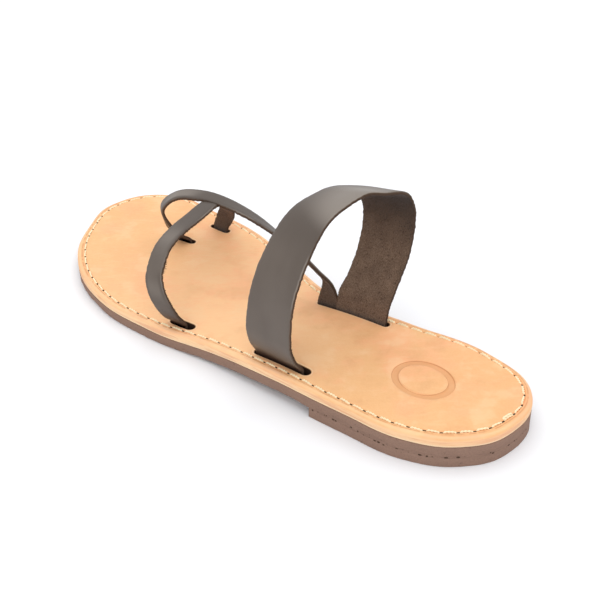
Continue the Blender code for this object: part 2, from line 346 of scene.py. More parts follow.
class Shade:
    """A socket of a material that Python sums and products can use."""

    def __init__(self, tree, socket=None):
        self.tree = tree
        self.socket = socket

    def feed(self, socket, value):
        """Links a shade to a socket, or sets the socket to a plain value."""
        if isinstance(value, Shade):
            self.tree.links.new(value.socket, socket)
        else:
            socket.default_value = value

    def node(self, kind, settings=None, inputs=None, output=0):
        """Adds a node, sets it up, then fills or links its sockets."""
        made = self.tree.nodes.new(kind)
        for name, value in (settings or {}).items():
            setattr(made, name, value)
        for name, value in (inputs or {}).items():
            self.feed(made.inputs[name], value)
        return Shade(self.tree, made.outputs[output])

    def math(self, operation, first, second):
        return self.node("ShaderNodeMath", {"operation": operation}, {0: first, 1: second})

    def __add__(self, other):
        return self.math("ADD", self, other)

    def __sub__(self, other):
        return self.math("SUBTRACT", self, other)

    def __rsub__(self, other):
        return self.math("SUBTRACT", other, self)

    def __mul__(self, other):
        return self.math("MULTIPLY", self, other)

    __radd__ = __add__
    __rmul__ = __mul__

    def step(self, low, high):
        """Smooth rise from 0 at low to 1 at high."""
        settings = {"interpolation_type": "SMOOTHSTEP"}
        return self.node("ShaderNodeMapRange", settings, {"Value": self, "From Min": low, "From Max": high})

    def band(self, centre, half):
        """Smooth band that is 1 at the centre and 0 beyond half its width."""
        return 1 - self.math("ABSOLUTE", self - centre, 0.0).step(0.0, half)

    def place(self, kind):
        """Place on the object, on its own surface or in the sky: Object, UV or Generated."""
        return self.node("ShaderNodeTexCoord", output=kind)

    def axis(self, name):
        """X, Y or Z of this place or direction."""
        return self.node("ShaderNodeSeparateXYZ", inputs={"Vector": self}, output=name)

    def attribute(self, name):
        return self.node("ShaderNodeAttribute", {"attribute_name": name}, output="Fac")

    def stretched(self, scale, turn=0.0):
        """Place turned about Z, then scaled along its axes."""
        inputs = {"Vector": self, "Angle": turn}
        turned = self.node("ShaderNodeVectorRotate", {"rotation_type": "Z_AXIS"}, inputs)
        return self.node("ShaderNodeMapping", inputs={"Vector": turned, "Scale": scale})

    def noise(self, scale, detail=2.0, roughness=0.5):
        inputs = {"Vector": self, "Scale": scale, "Detail": detail, "Roughness": roughness}
        return self.node("ShaderNodeTexNoise", inputs=inputs)

    def cells(self, scale):
        return self.node("ShaderNodeTexVoronoi", inputs={"Vector": self, "Scale": scale})

    def blend(self, first, second):
        """Colour between two colours, with this value as the share of the second."""
        first, second = (end if isinstance(end, Shade) else (*end, 1.0) for end in (first, second))
        return self.node("ShaderNodeMix", {"data_type": "RGBA"}, {0: self, 6: first, 7: second}, output=2)

    def coated(self, *coats):
        """This colour under coats, each a share and a colour."""
        tint = self
        for share, coat in coats:
            tint = share.blend(tint, coat)
        return tint

    def bump(self, height_mm):
        """Normal of a relief that this value raises up to the given height."""
        inputs = {"Height": self, "Distance": height_mm * MM, "Strength": 1.0}
        return self.node("ShaderNodeBump", inputs=inputs)


def new_finish(name, paint, *colours):
    """Material whose look the given function paints on its shader."""
    material = bpy.data.materials.new(name)
    material.use_nodes = True
    shade = Shade(material.node_tree)
    shader = material.node_tree.nodes["Principled BSDF"]
    for socket, value in paint(shade, *colours).items():
        shade.feed(shader.inputs[socket], value)
    return material


def look(tint, roughness, specular, **others):
    """Inputs of a material's shader, by name."""
    return {"Base Color": tint, "Roughness": roughness, "Specular IOR Level": specular, **others}


# The finishes: places on the object are in metres, distances that a mesh keeps are in millimetres


def footbed_leather(shade, colours):
    """Natural tan leather: clouds, fine streaks along the hide, pores, a cut side, painted shade in the
    channel and slots, and painted light under the straps, on the shoulder and on the lips.
    """
    place = shade.place("Object")
    ahead = place.axis("Y")
    names = ("rim", "slot", "level", "seam", "pressed")
    rim, slot, level, seam, pressed = (shade.attribute(name) for name in names)
    clouds = place.noise(24.0, 3.0)
    flush = place.noise(46.0, 4.0, 0.6)
    blots = place.noise(75.0, 3.0, 0.55)
    flecks = place.noise(420.0)
    streaks = place.stretched((1.0, 4.0, 1.0), STREAK_TURN).noise(70.0, 4.0, 0.6)
    scratches = place.stretched((1.0, 7.0, 1.0), STREAK_TURN).noise(260.0, 3.0, 0.6)
    pores = place.noise(2400.0, 2.0, 0.6)
    grain = place.cells(1100.0)
    layers = place.stretched((1.0, 1.0, 13.0)).noise(52.0, 3.0, 0.6)
    lines = place.stretched((0.6, 0.6, 24.0)).noise(60.0)
    fibres = place.stretched((1.0, 1.0, 6.0)).noise(900.0, 3.0, 0.65)
    fore = ahead.step(-0.04, 0.07)
    upper = level.step(0.80, 0.98)
    side = 1 - level.step(0.60, 0.90)
    border = (1 - rim.step(1.2, 2.0)) * upper
    crease = seam.band(-1.35, 0.55) * flecks.step(0.34, 0.54) * level.step(0.7, 0.9)
    cut = layers.step(0.44, 0.62).blend(colours.tan_cut, colours.tan_rose).coated(
        ((1 - ahead.step(-0.11, -0.04)) * 0.35, colours.tan_rose),
        (lines.step(0.56, 0.66) * 0.4, colours.pressed),
    )
    tint = clouds.step(0.36, 0.68).blend(colours.tan, colours.tan_deep).coated(
        # Painted light across the middle of the footbed, where the straps shade it
        (ahead.band(0.012, 0.085) * 0.95, colours.tan_painted_light),
        (flush.step(0.45, 0.7) * 0.6, colours.tan_flush),
        (blots.step(0.5, 0.68) * (0.34 - fore * 0.18), colours.pressed),
        ((1 - blots.step(0.34, 0.48)) * 0.4, colours.tan_pale),
        (streaks.step(0.48, 0.72) * 0.22, colours.tan_pale),
        (scratches.step(0.54, 0.76) * (0.06 + fore * 0.64), colours.tan_scratch),
        ((1 - scratches.step(0.28, 0.46)) * (0.06 + fore * 0.24), colours.tan_pale),
        (grain.step(0.25, 0.75) * 0.10, colours.tan_pale),
        # Painted highlight on the rounded shoulder along the top edge
        (border * 0.55, colours.tan_pale),
        (border * flush.step(0.40, 0.60) * 0.6, colours.tan_rose),
        # Darker seam channel: partly pressed leather, partly painted shade
        (seam.band(0.0, 0.95) * upper * 0.6, colours.pressed),
        (crease * 0.6, colours.pressed_line),
        (pressed * 0.7, colours.pressed),
        (pressed.band(0.5, 0.45) * 0.8, colours.pressed_line),
        (side * (0.75 + fibres * 0.25), cut),
        # Pale line at the foot of the side, where it turns under: partly its own colour, partly painted
        # highlight
        ((1 - level.step(0.10, 0.32)) * (0.55 + fibres * 0.5), colours.tan_line),
        ((1 - slot.step(0.3, 3.0)) * 0.14, colours.pressed),
        # Painted highlight on the slots' lips
        (slot.band(0.8, 0.4) * upper * 0.4, colours.tan_line),
        # Painted shade inside the slots
        (1 - slot.step(0.04, 0.5), colours.slot_wall),
    )
    relief = pores * 0.5 + grain * 0.5 + streaks * 0.4 + scratches * 0.6
    relief = relief + (fibres * 1.5 + layers * 2.0) * side
    return look(tint, 0.47 + clouds * 0.14 + side * 0.16, 0.35, Normal=relief.bump(0.06))


def strap_grain(shade, colours):
    """Smooth dyed grain with fine pebbles and soft clouds, painted shade at its ends and in places, and
    painted highlights along its edges, over its top and on its bends.
    """
    place = shade.place("UV")
    across, ahead, top = (shade.place("Object").axis(name) for name in "XYZ")
    rim = shade.attribute("rim")
    narrow = shade.attribute("dusk")
    clouds = place.stretched((0.6, 1.0, 1.0)).noise(0.07, 2.0)
    bands = place.stretched((1.0, 0.2, 1.0)).noise(0.06, 1.0)
    pebbles = place.cells(2.6)
    pores = place.noise(5.0, 3.0, 0.6)
    # Painted highlight along the rounded grain edges, broken up by the clouds
    highlight = (1 - rim.step(0.2, 0.55)) * clouds.step(0.42, 0.62)
    # Painted shade near the strap's ends, where it goes down into the slots
    end_shade = 1 - shade.attribute("end").step(4.5 + narrow * 2.5, 13.0 + narrow * 9.0)
    deep = clouds.step(0.35, 0.75) * 0.35 + bands.step(0.4, 0.62) * narrow * 0.5
    outer = 1 - across.step(-0.034, -0.004)
    # Sheen of the cross strap's bends and of the long strap's turn over the toe, and the turn's shaded leg
    shine = across.band(-0.022, 0.013) + top.band(0.029, 0.007) * outer
    shine = shine + ahead.step(0.056, 0.064) * top.band(0.0375, 0.007) * 2.0
    leg = ahead.step(0.067, 0.073) * (1 - top.step(0.022, 0.034))
    tint = deep.blend(colours.grain, colours.grain_dark).coated(
        # Painted shade over the toe straps' inner part
        (narrow * (1 - outer) * 0.85, colours.grain_dark),
        # Painted highlight on the toe straps: lighter away from their edges, most on the sheen places
        (narrow * rim.step(0.2, 2.2) * (0.02 + shine * 0.24), colours.strap_highlight),
        (narrow * leg * 0.6, colours.end_shade),
        # Painted shade in a band just below the instep strap's top
        (top.band(0.0725, 0.012) * (1 - narrow) * 0.68, colours.grain_dark),
        (pores.step(0.45, 0.8) * 0.14, colours.grain_dark),
        # Painted highlight over the instep strap's top
        (top.step(0.0735, 0.080) * 0.55, colours.strap_highlight),
        # Painted highlight along the edges
        (highlight * 0.4, colours.strap_highlight),
        # Painted shade near the ends
        (end_shade * 0.85, colours.end_shade),
    )
    relief = pebbles * 0.6 + pores * 0.6
    return look(tint, 0.35 + clouds * 0.10 + pores * 0.08, 0.36, Normal=relief.bump(0.03))


def strap_flesh(shade, colours):
    """Bare fibrous inside of the straps, mottled and matte, with painted shade towards the top and on the toe
    straps.
    """
    place = shade.place("UV")
    top = shade.place("Object").axis("Z")
    clouds = place.noise(0.16, 4.0, 0.6)
    nap = place.stretched((0.7, 1.5, 1.0)).noise(1.9, 5.0, 0.8)
    fuzz = place.noise(6.5, 3.0, 0.7)
    pits = place.noise(0.9, 2.0)
    tint = (clouds * 0.22 + nap * 0.9).step(0.38, 0.74).blend(colours.flesh_dark, colours.flesh).coated(
        (fuzz.step(0.5, 0.72) * 0.6, colours.flesh_dark),
        (pits.step(0.60, 0.68) * 0.75, colours.flesh_dark),
        # Painted shade on the inside: darker up towards the instep strap's top, and on all of the toe straps
        (top.step(0.038, 0.074) * 0.95 + shade.attribute("dusk") * 0.4, colours.deep_shade),
    )
    relief = nap * 0.9 + fuzz * 0.6 - pits * 0.4
    sheen = {"Sheen Weight": 0.2, "Sheen Roughness": 0.5}
    return look(tint, 0.95, 0.12, Normal=relief.bump(0.3), **sheen)


def strap_edge(shade, colours):
    """Raw cut edge: fibres that grow darker towards the flesh side."""
    fibres = shade.place("UV").stretched((1.0, 0.35, 1.0)).noise(4.0, 4.0, 0.7)
    dark = shade.attribute("depth").step(0.1, 0.85) * 0.7 + fibres * 0.4
    tint = dark.blend(colours.raw_edge, colours.flesh_dark)
    return look(tint, 0.78, 0.25, Normal=fibres.bump(0.16))


def sewing_thread(shade, colours):
    """Waxed cream thread."""
    fibres = shade.place("Object").noise(3000.0, 3.0)
    tint = (fibres.step(0.4, 0.8) * 0.4).blend(colours.thread, colours.tan_line)
    return look(tint, 0.6, 0.3, Normal=fibres.bump(0.05))


def dark_hole(shade, dark, mottle_colour):
    """Painted shade inside small holes, mottled with a second colour."""
    tint = (shade.place("Object").noise(1500.0) * 0.35).blend(dark, mottle_colour)
    return {"Base Color": tint, "Roughness": 0.9, "Specular IOR Level": 0.1}


def sole_rubber(shade, colours):
    """Matte brown rubber with pores, cut marks on its side and pits along the heel's seam."""
    place = shade.place("Object")
    clouds = place.noise(45.0, 3.0)
    pores = place.noise(1600.0, 3.0, 0.65)
    specks = place.noise(700.0, 2.0)
    cuts = place.stretched((1.0, 1.0, 9.0)).noise(160.0, 4.0, 0.6)
    tint = (clouds * 0.3 + pores.step(0.35, 0.75) * 0.3).blend(colours.rubber, colours.rubber_dark).coated(
        (cuts.step(0.55, 0.75) * 0.22, colours.rubber_dark),
        (specks.step(0.66, 0.74) * 0.6, colours.rubber_dark),
        (shade.attribute("seam") * cuts.step(0.45, 0.6) * 0.25, colours.rubber_dark),
    )
    relief = pores * 0.6 + cuts * 0.7 - specks.step(0.64, 0.74)
    return look(tint, 0.82, 0.25, Normal=relief.bump(0.12))


def plain_floor(shade, colours):
    """Plain pale matte floor."""
    tint = (shade.place("Object").noise(3.0) * 0.02).blend(colours.floor, FLOOR_SHADE)
    return {"Base Color": tint, "Roughness": 0.9, "Specular IOR Level": 0.1}


def millimetres(sizes):
    """The size properties in millimetres, by name."""
    return {name: getattr(sizes, name) / MM for name in sizes.__annotations__}


def smoothstep(t):
    t = np.clip(t, 0.0, 1.0)
    return t * t * (3 - 2 * t)


def unit(ways):
    """Directions made a unit long."""
    return ways / np.linalg.norm(ways, axis=1)[:, None]


def sheet_rise(y):
    """Height of the rubber sheet's underside above the floor."""
    slope = HEEL_RISE * smoothstep((WAIST_END - y) / (WAIST_END - WAIST_START))
    roll = np.clip((y - ROLL_START) / (SOLE_LENGTH - ROLL_START), 0.0, None)
    return slope + TOE_SPRING * roll ** 2


def footbed_underside(y):
    return sheet_rise(y) + RUBBER_SHEET + LAYER_GAP


def in_frame(places):
    """Places in millimetres from the heel as metres in the sandal's frame."""
    return (np.asarray(places) - (CENTRE_X, SOLE_LENGTH / 2, 0.0)) * MM


def travelled(points):
    """Distance of each point along the line through them."""
    return np.concatenate([[0.0], np.cumsum(np.linalg.norm(np.diff(points, axis=0), axis=1))])


def closed_line(points):
    """Closed line through points, and the distance of each along it."""
    line = np.vstack([points, points[:1]])
    return line, travelled(line)


def at_distances(line, along, places):
    """Places on a line at the given distances along it."""
    return np.column_stack([np.interp(places, along, column) for column in line.T])


def evenly(points, spacing):
    """Closed line resampled to even steps of about the given length."""
    line, along = closed_line(points)
    places = np.linspace(0.0, along[-1], round(along[-1] / spacing), endpoint=False)
    return at_distances(line, along, places)


class Loop:
    """Closed flat line of points, anticlockwise, with the directions to its inside."""

    def __init__(self, points):
        self.points = points
        ahead = unit(np.roll(points, -1, axis=0) - np.roll(points, 1, axis=0))
        self.inward = np.stack([-ahead[:, 1], ahead[:, 0]], axis=1)

    def at(self, inset, height):
        """Places that lie the given distance inside the line, at the given height."""
        flat = self.points + self.inward * np.reshape(inset, (-1, 1))
        return np.column_stack([flat, np.broadcast_to(height, len(flat))])

    def nearest(self, flat):
        """Index of the nearest point of the line, and its distance, for flat points."""
        gaps = np.linalg.norm(self.points[None] - np.asarray(flat)[:, None], axis=2)
        return gaps.argmin(axis=1), gaps.min(axis=1)


def sole_outline():
    """Even loop of the sole's outline, smooth through the places of its table."""
    curve = bpy.data.curves.new("outline", "CURVE")
    spline = curve.splines.new("BEZIER")
    spline.bezier_points.add(len(OUTLINE) - 1)
    spline.use_cyclic_u = True
    for point, (_, x, y) in zip(spline.bezier_points, OUTLINE):
        point.co = (x, y, 0.0)
        point.handle_left_type = "AUTO"
        point.handle_right_type = "AUTO"
    guide = bpy.data.objects.new("outline", curve)
    bpy.context.scene.collection.objects.link(guide)
    bpy.context.view_layer.update()
    knots = list(spline.bezier_points)
    points = []
    for here, after in zip(knots, knots[1:] + knots[:1]):
        ends = (here.co, here.handle_right, after.handle_left, after.co)
        points.extend(p.xy for p in geometry.interpolate_bezier(*ends, BEZIER_POINTS)[:-1])
    bpy.data.objects.remove(guide)
    bpy.data.curves.remove(curve)
    return Loop(evenly(np.array(points), RIM_SPACING))


def slot_loop(width, front, back):
    """Loop with round ends about the line of a slot."""
    front, back = np.array(front), np.array(back)
    ahead = (back - front) / np.linalg.norm(back - front)
    side = np.array((-ahead[1], ahead[0]))
    radius = width / 2
    angles = np.linspace(-math.pi / 2, math.pi / 2, SLOT_ARC_POINTS)
    arc = np.cos(angles)[:, None] * ahead + np.sin(angles)[:, None] * side
    points = np.vstack([back - ahead * radius + arc * radius, front + ahead * radius - arc * radius])
    return Loop(evenly(points, SLOT_SPACING))


def slot_loops():
    return [slot_loop(width, (fx, fy), (bx, by)) for _, width, fx, fy, bx, by in SLOTS]


def oval_loop():
    angles = np.linspace(0.0, 2 * math.pi, OVAL_POINTS, endpoint=False)
    return Loop(np.column_stack([np.cos(angles), np.sin(angles)]) * OVAL_RADII + OVAL_CENTRE)


def of_kind(parts, kind):
    """The points, edges or faces among parts of a bmesh."""
    return [part for part in parts if isinstance(part, kind)]


def new_body():
    """Empty bmesh whose points remember their order along a ring."""
    bm = bmesh.new()
    bm.verts.layers.int.new("order")
    return bm


def grow_ring(bm, ring, places):
    """Extrudes a ring of edges to the given places, or starts one there, and returns the new ring."""
    order = bm.verts.layers.int["order"]
    if ring is None:
        verts = bmesh.ops.create_circle(bm, segments=len(places), radius=1.0)["verts"]
        for index, (vert, place) in enumerate(zip(verts, places)):
            vert.co = place
            vert[order] = index
        return list({edge for vert in verts for edge in vert.link_edges})
    grown = bmesh.ops.extrude_edge_only(bm, edges=ring)["geom"]
    verts = set(of_kind(grown, BMVert))
    for vert in verts:
        vert.co = places[vert[order]]
    return [edge for edge in of_kind(grown, BMEdge) if verts.issuperset(edge.verts)]


def fill(bm, rings):
    """Flat faces between rings, the first round the others."""
    edges = [edge for ring in rings for edge in ring]
    made = bmesh.ops.triangle_fill(bm, edges=edges, use_beauty=True, normal=(0.0, 0.0, 1.0))
    return of_kind(made["geom"], BMFace)


def cut_grid(bm, faces, axis, spacing):
    """Cuts faces along even planes across one axis, X or Y, and returns the smaller faces."""
    normal = Vector(np.eye(3)[axis])
    parts = set(faces)
    for place in np.arange(*GRID_RANGES[axis], spacing):
        edges = {edge for face in parts for edge in face.edges}
        verts = {vert for face in parts for vert in face.verts}
        geom = [*verts, *edges, *parts]
        cut = bmesh.ops.bisect_plane(bm, geom=geom, dist=CUT_REACH, plane_co=normal * place, plane_no=normal)
        parts = set(of_kind(cut["geom"], BMFace))
    return parts


def close_up(bm):
    """Takes out the slivers that the cuts leave and points the faces outwards."""
    bmesh.ops.dissolve_degenerate(bm, dist=SLIVER, edges=bm.edges)
    bmesh.ops.recalc_face_normals(bm, faces=bm.faces)


def places_of(bm):
    return np.array([vert.co for vert in bm.verts])


def put(bm, places):
    for vert, place in zip(bm.verts, places):
        vert.co = place


def store(bm, name, values):
    """Keeps one number for each point, for the finish to read."""
    layer = bm.verts.layers.float.new(name)
    for vert, value in zip(bm.verts, values):
        vert[layer] = value


def new_object(name, bm, finishes):
    """Object of a finished bmesh in metres, with its finishes."""
    mesh = bpy.data.meshes.new(name)
    bm.to_mesh(mesh)
    bm.free()
    for finish in finishes:
        mesh.materials.append(finish)
    made = bpy.data.objects.new(name, mesh)
    bpy.context.scene.collection.objects.link(made)
    return made


def new_piece(name, bm, finishes, nodes):
    """Piece of a bmesh in millimetres that rides on the body, with its finish and the nodes it stands for."""
    put(bm, in_frame(places_of(bm)))
    piece = new_object(name, bm, finishes)
    piece.data.shade_smooth()
    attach(piece, BODY)
    if nodes:
        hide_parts(*nodes)


def plug(bm, radius, matrix):
    """Adds a small tapered plug whose wide end lies at the given place."""
    sunk = matrix @ Matrix.Translation((0.0, 0.0, -PLUG_DEPTH / 2))
    sizes = {"segments": PLUG_SIDES, "radius1": radius / 2, "radius2": radius, "depth": PLUG_DEPTH}
    bmesh.ops.create_cone(bm, cap_ends=True, matrix=sunk, **sizes)


def along_seam(rim, column):
    """One column of the seam's table at each point of the sole's outline."""
    table = np.array(SEAM)
    index, _ = rim.nearest(table[:, :2])
    index[0] = 0
    return np.interp(np.arange(len(rim.points)), index, table[:, column], period=len(rim.points))


def soft_marks(places):
    """Depth of the scuffs and of the leather's slight waves at each place."""
    x, y = places[:, 0], places[:, 1]
    depth = np.zeros(len(places))
    for mark_x, mark_y, run, width, turn, deep in SCUFFS:
        ahead = np.array((math.cos(math.radians(turn)), math.sin(math.radians(turn))))
        offset = places[:, :2] - (mark_x, mark_y)
        along = offset @ ahead
        across = offset @ np.array((-ahead[1], ahead[0]))
        depth += deep * np.exp(-((2 * along / run) ** 2) - (2 * across / width) ** 2)
    waves = np.sin(x / CROSSED_WAVE[0] + 1.0) * np.sin(y / CROSSED_WAVE[1])
    waves += np.sin(y / SLANTED_WAVE[1] - x / SLANTED_WAVE[0])
    return depth + WAVE_DEPTH * waves


class SANDAL_OT_footbed(Operator):
    """Leather footbed with its seam channel, slots, rounded shoulder and pressed oval"""

    bl_idname = "sandal.footbed"
    bl_label = "Footbed"

    # Columns: distance inwards from the seam in half channel widths, depth in channel depths
    CHANNEL = ((0.72, 0.25), (0.42, 0.85), (0.0, 1.0), (-0.42, 0.85), (-0.72, 0.25), (-1.0, 0.0))
    # Columns: distance outwards from the seam, depth below the top
    CREASE = ((1.05, 0.0), (1.3, 0.1), (1.55, 0.03))
    # Columns: share of the shoulder's reach, depth below the top
    SHOULDER = ((0.95, 0.09), (0.6, 0.26), (0.3, 0.56), (0.1, 1.0), (0.0, 1.55))
    # Farthest that the shoulder reaches in from the edge, and nearest that it comes to the seam
    SHOULDER_REACH = 1.5
    SHOULDER_CLEAR = 1.7
    # Columns: distance inwards from the edge, depth below the top
    SIDE = ((-0.05, 2.3), (0.0, 3.0), (0.05, 3.6), (0.18, 4.05), (0.45, 4.4))
    # Columns: distance outwards from the slot's wall, depth below the top
    LIP = ((0.28, 0.05), (0.1, 0.2), (0.0, 0.5), (0.0, 1.6), (0.0, 2.9), (0.0, 4.4))
    LIP_START = 0.5
    # Distance from a slot over which its pressed leather rises
    PRESS_REACH = 1.8
    # Columns: distance inwards from the oval's outer line, share of its depth
    OVAL_WALL = ((0.12, 0.3), (0.3, 0.9), (0.5, 1.0))
    # Part of the oval's radius over which its colour starts
    OVAL_SOFT = 0.03
    # Part of the thickness where the marks start to go in, and over which they grow
    MARKS_START = 0.5
    MARKS_RUN = 0.4

    def execute(self, context):
        size = millimetres(context.scene.sandal_sizes)
        rim = sole_outline()
        slots = slot_loops()
        oval = oval_loop()
        seam = along_seam(rim, SEAM_INSET)
        half = size["channel"] / 2
        reach = np.minimum(seam - self.SHOULDER_CLEAR, self.SHOULDER_REACH)
        bm = new_body()
        edge = grow_ring(bm, None, rim.at(seam + half, FOOTBED))
        lips = [grow_ring(bm, None, slot.at(-self.LIP_START, FOOTBED)) for slot in slots]
        mark = grow_ring(bm, None, oval.at(0.0, FOOTBED))
        top = fill(bm, [edge, *lips, mark])
        rows = [(seam + inset * half, depth * size["channel_depth"]) for inset, depth in self.CHANNEL]
        rows += [(seam - out, depth) for out, depth in self.CREASE]
        rows += [(share * reach, depth) for share, depth in self.SHOULDER]
        for inset, depth in (*rows, *self.SIDE):
            edge = grow_ring(bm, edge, rim.at(inset, FOOTBED - depth))
        for index, slot in enumerate(slots):
            for out, depth in self.LIP:
                lips[index] = grow_ring(bm, lips[index], slot.at(-out, FOOTBED - depth))
        far_wall = [(OVAL_BAND - inset, depth) for inset, depth in reversed(self.OVAL_WALL)]
        for inset, depth in (*self.OVAL_WALL, *far_wall, (OVAL_BAND, 0.0)):
            mark = grow_ring(bm, mark, oval.at(inset, FOOTBED - depth * OVAL_DEPTH))
        top += fill(bm, [mark])
        under = fill(bm, [edge, *lips])
        cut_grid(bm, cut_grid(bm, top, 1, GRID_SPACING), 0, GRID_SPACING)
        cut_grid(bm, under, 1, 4 * GRID_SPACING)
        close_up(bm)
        self.shape(bm, rim, seam, slots, size)
        finish = new_finish("footbed_leather", footbed_leather, context.scene.sandal_colours)
        new_piece("footbed_leather", bm, [finish], ["insole"])
        return {"FINISHED"}

    def shape(self, bm, rim, seam, slots, size):
        """Presses slots and wear marks in, bends the footbed and keeps what the finish reads."""
        places = places_of(bm)
        level = places[:, 2] / FOOTBED
        to_slot = np.min([slot.nearest(places[:, :2])[1] for slot in slots], axis=0)
        beside, to_rim = rim.nearest(places[:, :2])
        to_oval = np.linalg.norm((places[:, :2] - OVAL_CENTRE) / OVAL_RADII, axis=1)
        inner = 1 - OVAL_BAND / np.mean(OVAL_RADII)
        within = smoothstep((1.0 - to_oval) / self.OVAL_SOFT)
        beyond = smoothstep((to_oval - inner) / self.OVAL_SOFT)
        store(bm, "rim", to_rim)
        store(bm, "seam", to_rim - seam[beside])
        store(bm, "slot", to_slot)
        store(bm, "level", level)
        store(bm, "pressed", within * beyond)
        upper = smoothstep((level - self.MARKS_START) / self.MARKS_RUN)
        press = size["slot_press"] * np.exp(-((to_slot / self.PRESS_REACH) ** 2))
        places[:, 2] -= upper * (press + soft_marks(places))
        places[:, 2] += footbed_underside(places[:, 1])
        put(bm, places)


class SANDAL_OT_stitching(Operator):
    """Twisted thread of the seam, with a needle hole of painted shade between each two stitches"""

    bl_idname = "sandal.stitching"
    bl_label = "Stitching"

    # Columns: part of the stitch, height above the channel's floor in thread widths
    ARCH = (
        (0.1, -0.5), (0.14, 0.0), (0.21, 0.34), (0.35, 0.46),
        (0.69, 0.46), (0.83, 0.32), (0.9, 0.0), (0.94, -0.5),
    )
    TWISTS = 2.4
    # Radius of a ply in thread widths, and its rise about the thread in radii
    PLY = 0.28
    PLY_RISE = 0.8
    # Distance inwards from the seam's line where a stitch starts and ends
    SLANT = (0.32, -0.12)
    SLANT_JITTER = 0.09
    # Fullness of a stitch: the most, what a full needle hole takes off it, and its spread
    FULLEST = 1.35
    FULL_LOSS = 0.35
    FULL_JITTER = 0.07
    # Stitches that the outer side's holes lie nearer to the heel than even ones would,
    # with the parts of the seam where this starts, grows and fades
    DRIFT = 0.45
    DRIFT_START = 0.4
    DRIFT_RISE = 0.15
    DRIFT_FADE = 0.2
    # The second thread over the first stitch at the heel
    DOUBLE_LIFT = (0.0, 0.0, 0.3)
    DOUBLE_SHIFT = 0.6
    DOUBLE_FULL = 1.2
    HOLE_LIFT = (0.0, 0.0, 0.1)

    def execute(self, context):
        size = millimetres(context.scene.sandal_sizes)
        colours = context.scene.sandal_colours
        rim = sole_outline()
        holes = self.holes(rim, size)
        shares = along_seam(rim, SEAM_HOLE)[rim.nearest(holes[:, :2])[0]]
        random = np.random.default_rng(SEED)
        stitch = self.one_stitch(size)
        thread = bmesh.new()
        for index, (start, end) in enumerate(zip(holes, np.roll(holes, -1, axis=0))):
            tilt = random.normal(self.SLANT, self.SLANT_JITTER)
            full = random.normal(1.0, self.FULL_JITTER) * (self.FULLEST - self.FULL_LOSS * shares[index])
            self.place(thread, stitch, start, end, tilt, full)
            if index == 0:
                start, end = start + self.DOUBLE_LIFT, end + self.DOUBLE_LIFT
                self.place(thread, stitch, start, end, tilt + self.DOUBLE_SHIFT, full * self.DOUBLE_FULL)
        bpy.data.meshes.remove(stitch)
        finish = new_finish("sewing_thread", sewing_thread, colours)
        new_piece("seam_thread", thread, [finish], [])
        plugs = bmesh.new()
        for place, radius in zip(holes + self.HOLE_LIFT, shares * size["needle_hole"] / 2):
            plug(plugs, radius, Matrix.Translation(place))
        finish = new_finish("needle_hole", dark_hole, colours.deep_shade, colours.flesh_dark)
        new_piece("needle_holes", plugs, [finish], [])
        return {"FINISHED"}

    def holes(self, rim, size):
        """Needle holes in the channel, even on the inner side and nearer to the heel on the outer side."""
        line, along = closed_line(rim.at(along_seam(rim, SEAM_INSET), 0.0))
        count = round(along[-1] / size["stitch_pitch"])
        part = np.arange(count) / count
        shift = self.DRIFT * smoothstep((1 - part) / self.DRIFT_FADE)
        shift *= smoothstep((part - self.DRIFT_START) / self.DRIFT_RISE)
        holes = at_distances(line, along, (part + shift / count) * along[-1])
        holes[:, 2] = footbed_underside(holes[:, 1]) + FOOTBED - size["channel_depth"] - soft_marks(holes)
        return holes

    def one_stitch(self, size):
        """Mesh of one stitch of two twisted plies, a unit long."""
        bm = new_body()
        at, lift = np.array(self.ARCH).T
        parts = np.linspace(at[0], at[-1], PLY_STEPS)
        height = np.interp(parts, at, lift) * size["thread"]
        turn = 2 * math.pi * self.TWISTS * parts
        angles = np.linspace(0.0, 2 * math.pi, PLY_SIDES, endpoint=False)
        ply = size["thread"] * self.PLY
        circle = np.column_stack([np.zeros(PLY_SIDES), ply * np.cos(angles), ply * np.sin(angles)])
        for phase in (0.0, math.pi):
            side = ply * np.cos(turn + phase)
            rise = height + ply * self.PLY_RISE * np.sin(turn + phase)
            ring = None
            for centre in np.column_stack([parts, side, rise]):
                ring = grow_ring(bm, ring, centre + circle)
        bmesh.ops.holes_fill(bm, edges=bm.edges)
        bmesh.ops.recalc_face_normals(bm, faces=bm.faces)
        mesh = bpy.data.meshes.new("stitch")
        bm.to_mesh(mesh)
        bm.free()
        return mesh

    def place(self, bm, mesh, start, end, shift, full):
        """Adds a copy of a unit mesh from one needle hole to the next, shifted inwards and made fuller."""
        before = len(bm.verts)
        bm.from_mesh(mesh)
        bm.verts.ensure_lookup_table()
        ahead = Vector(end - start)
        side = Vector((0, 0, 1)).cross(ahead).normalized()
        turn = Matrix((ahead, side, ahead.cross(side).normalized())).transposed()
        for vert in bm.verts[before:]:
            x, y, z = vert.co
            drift = shift[0] * (1 - x) + shift[1] * x
            vert.co = Vector(start) + turn @ Vector((x, y * full, z * full)) + side * drift


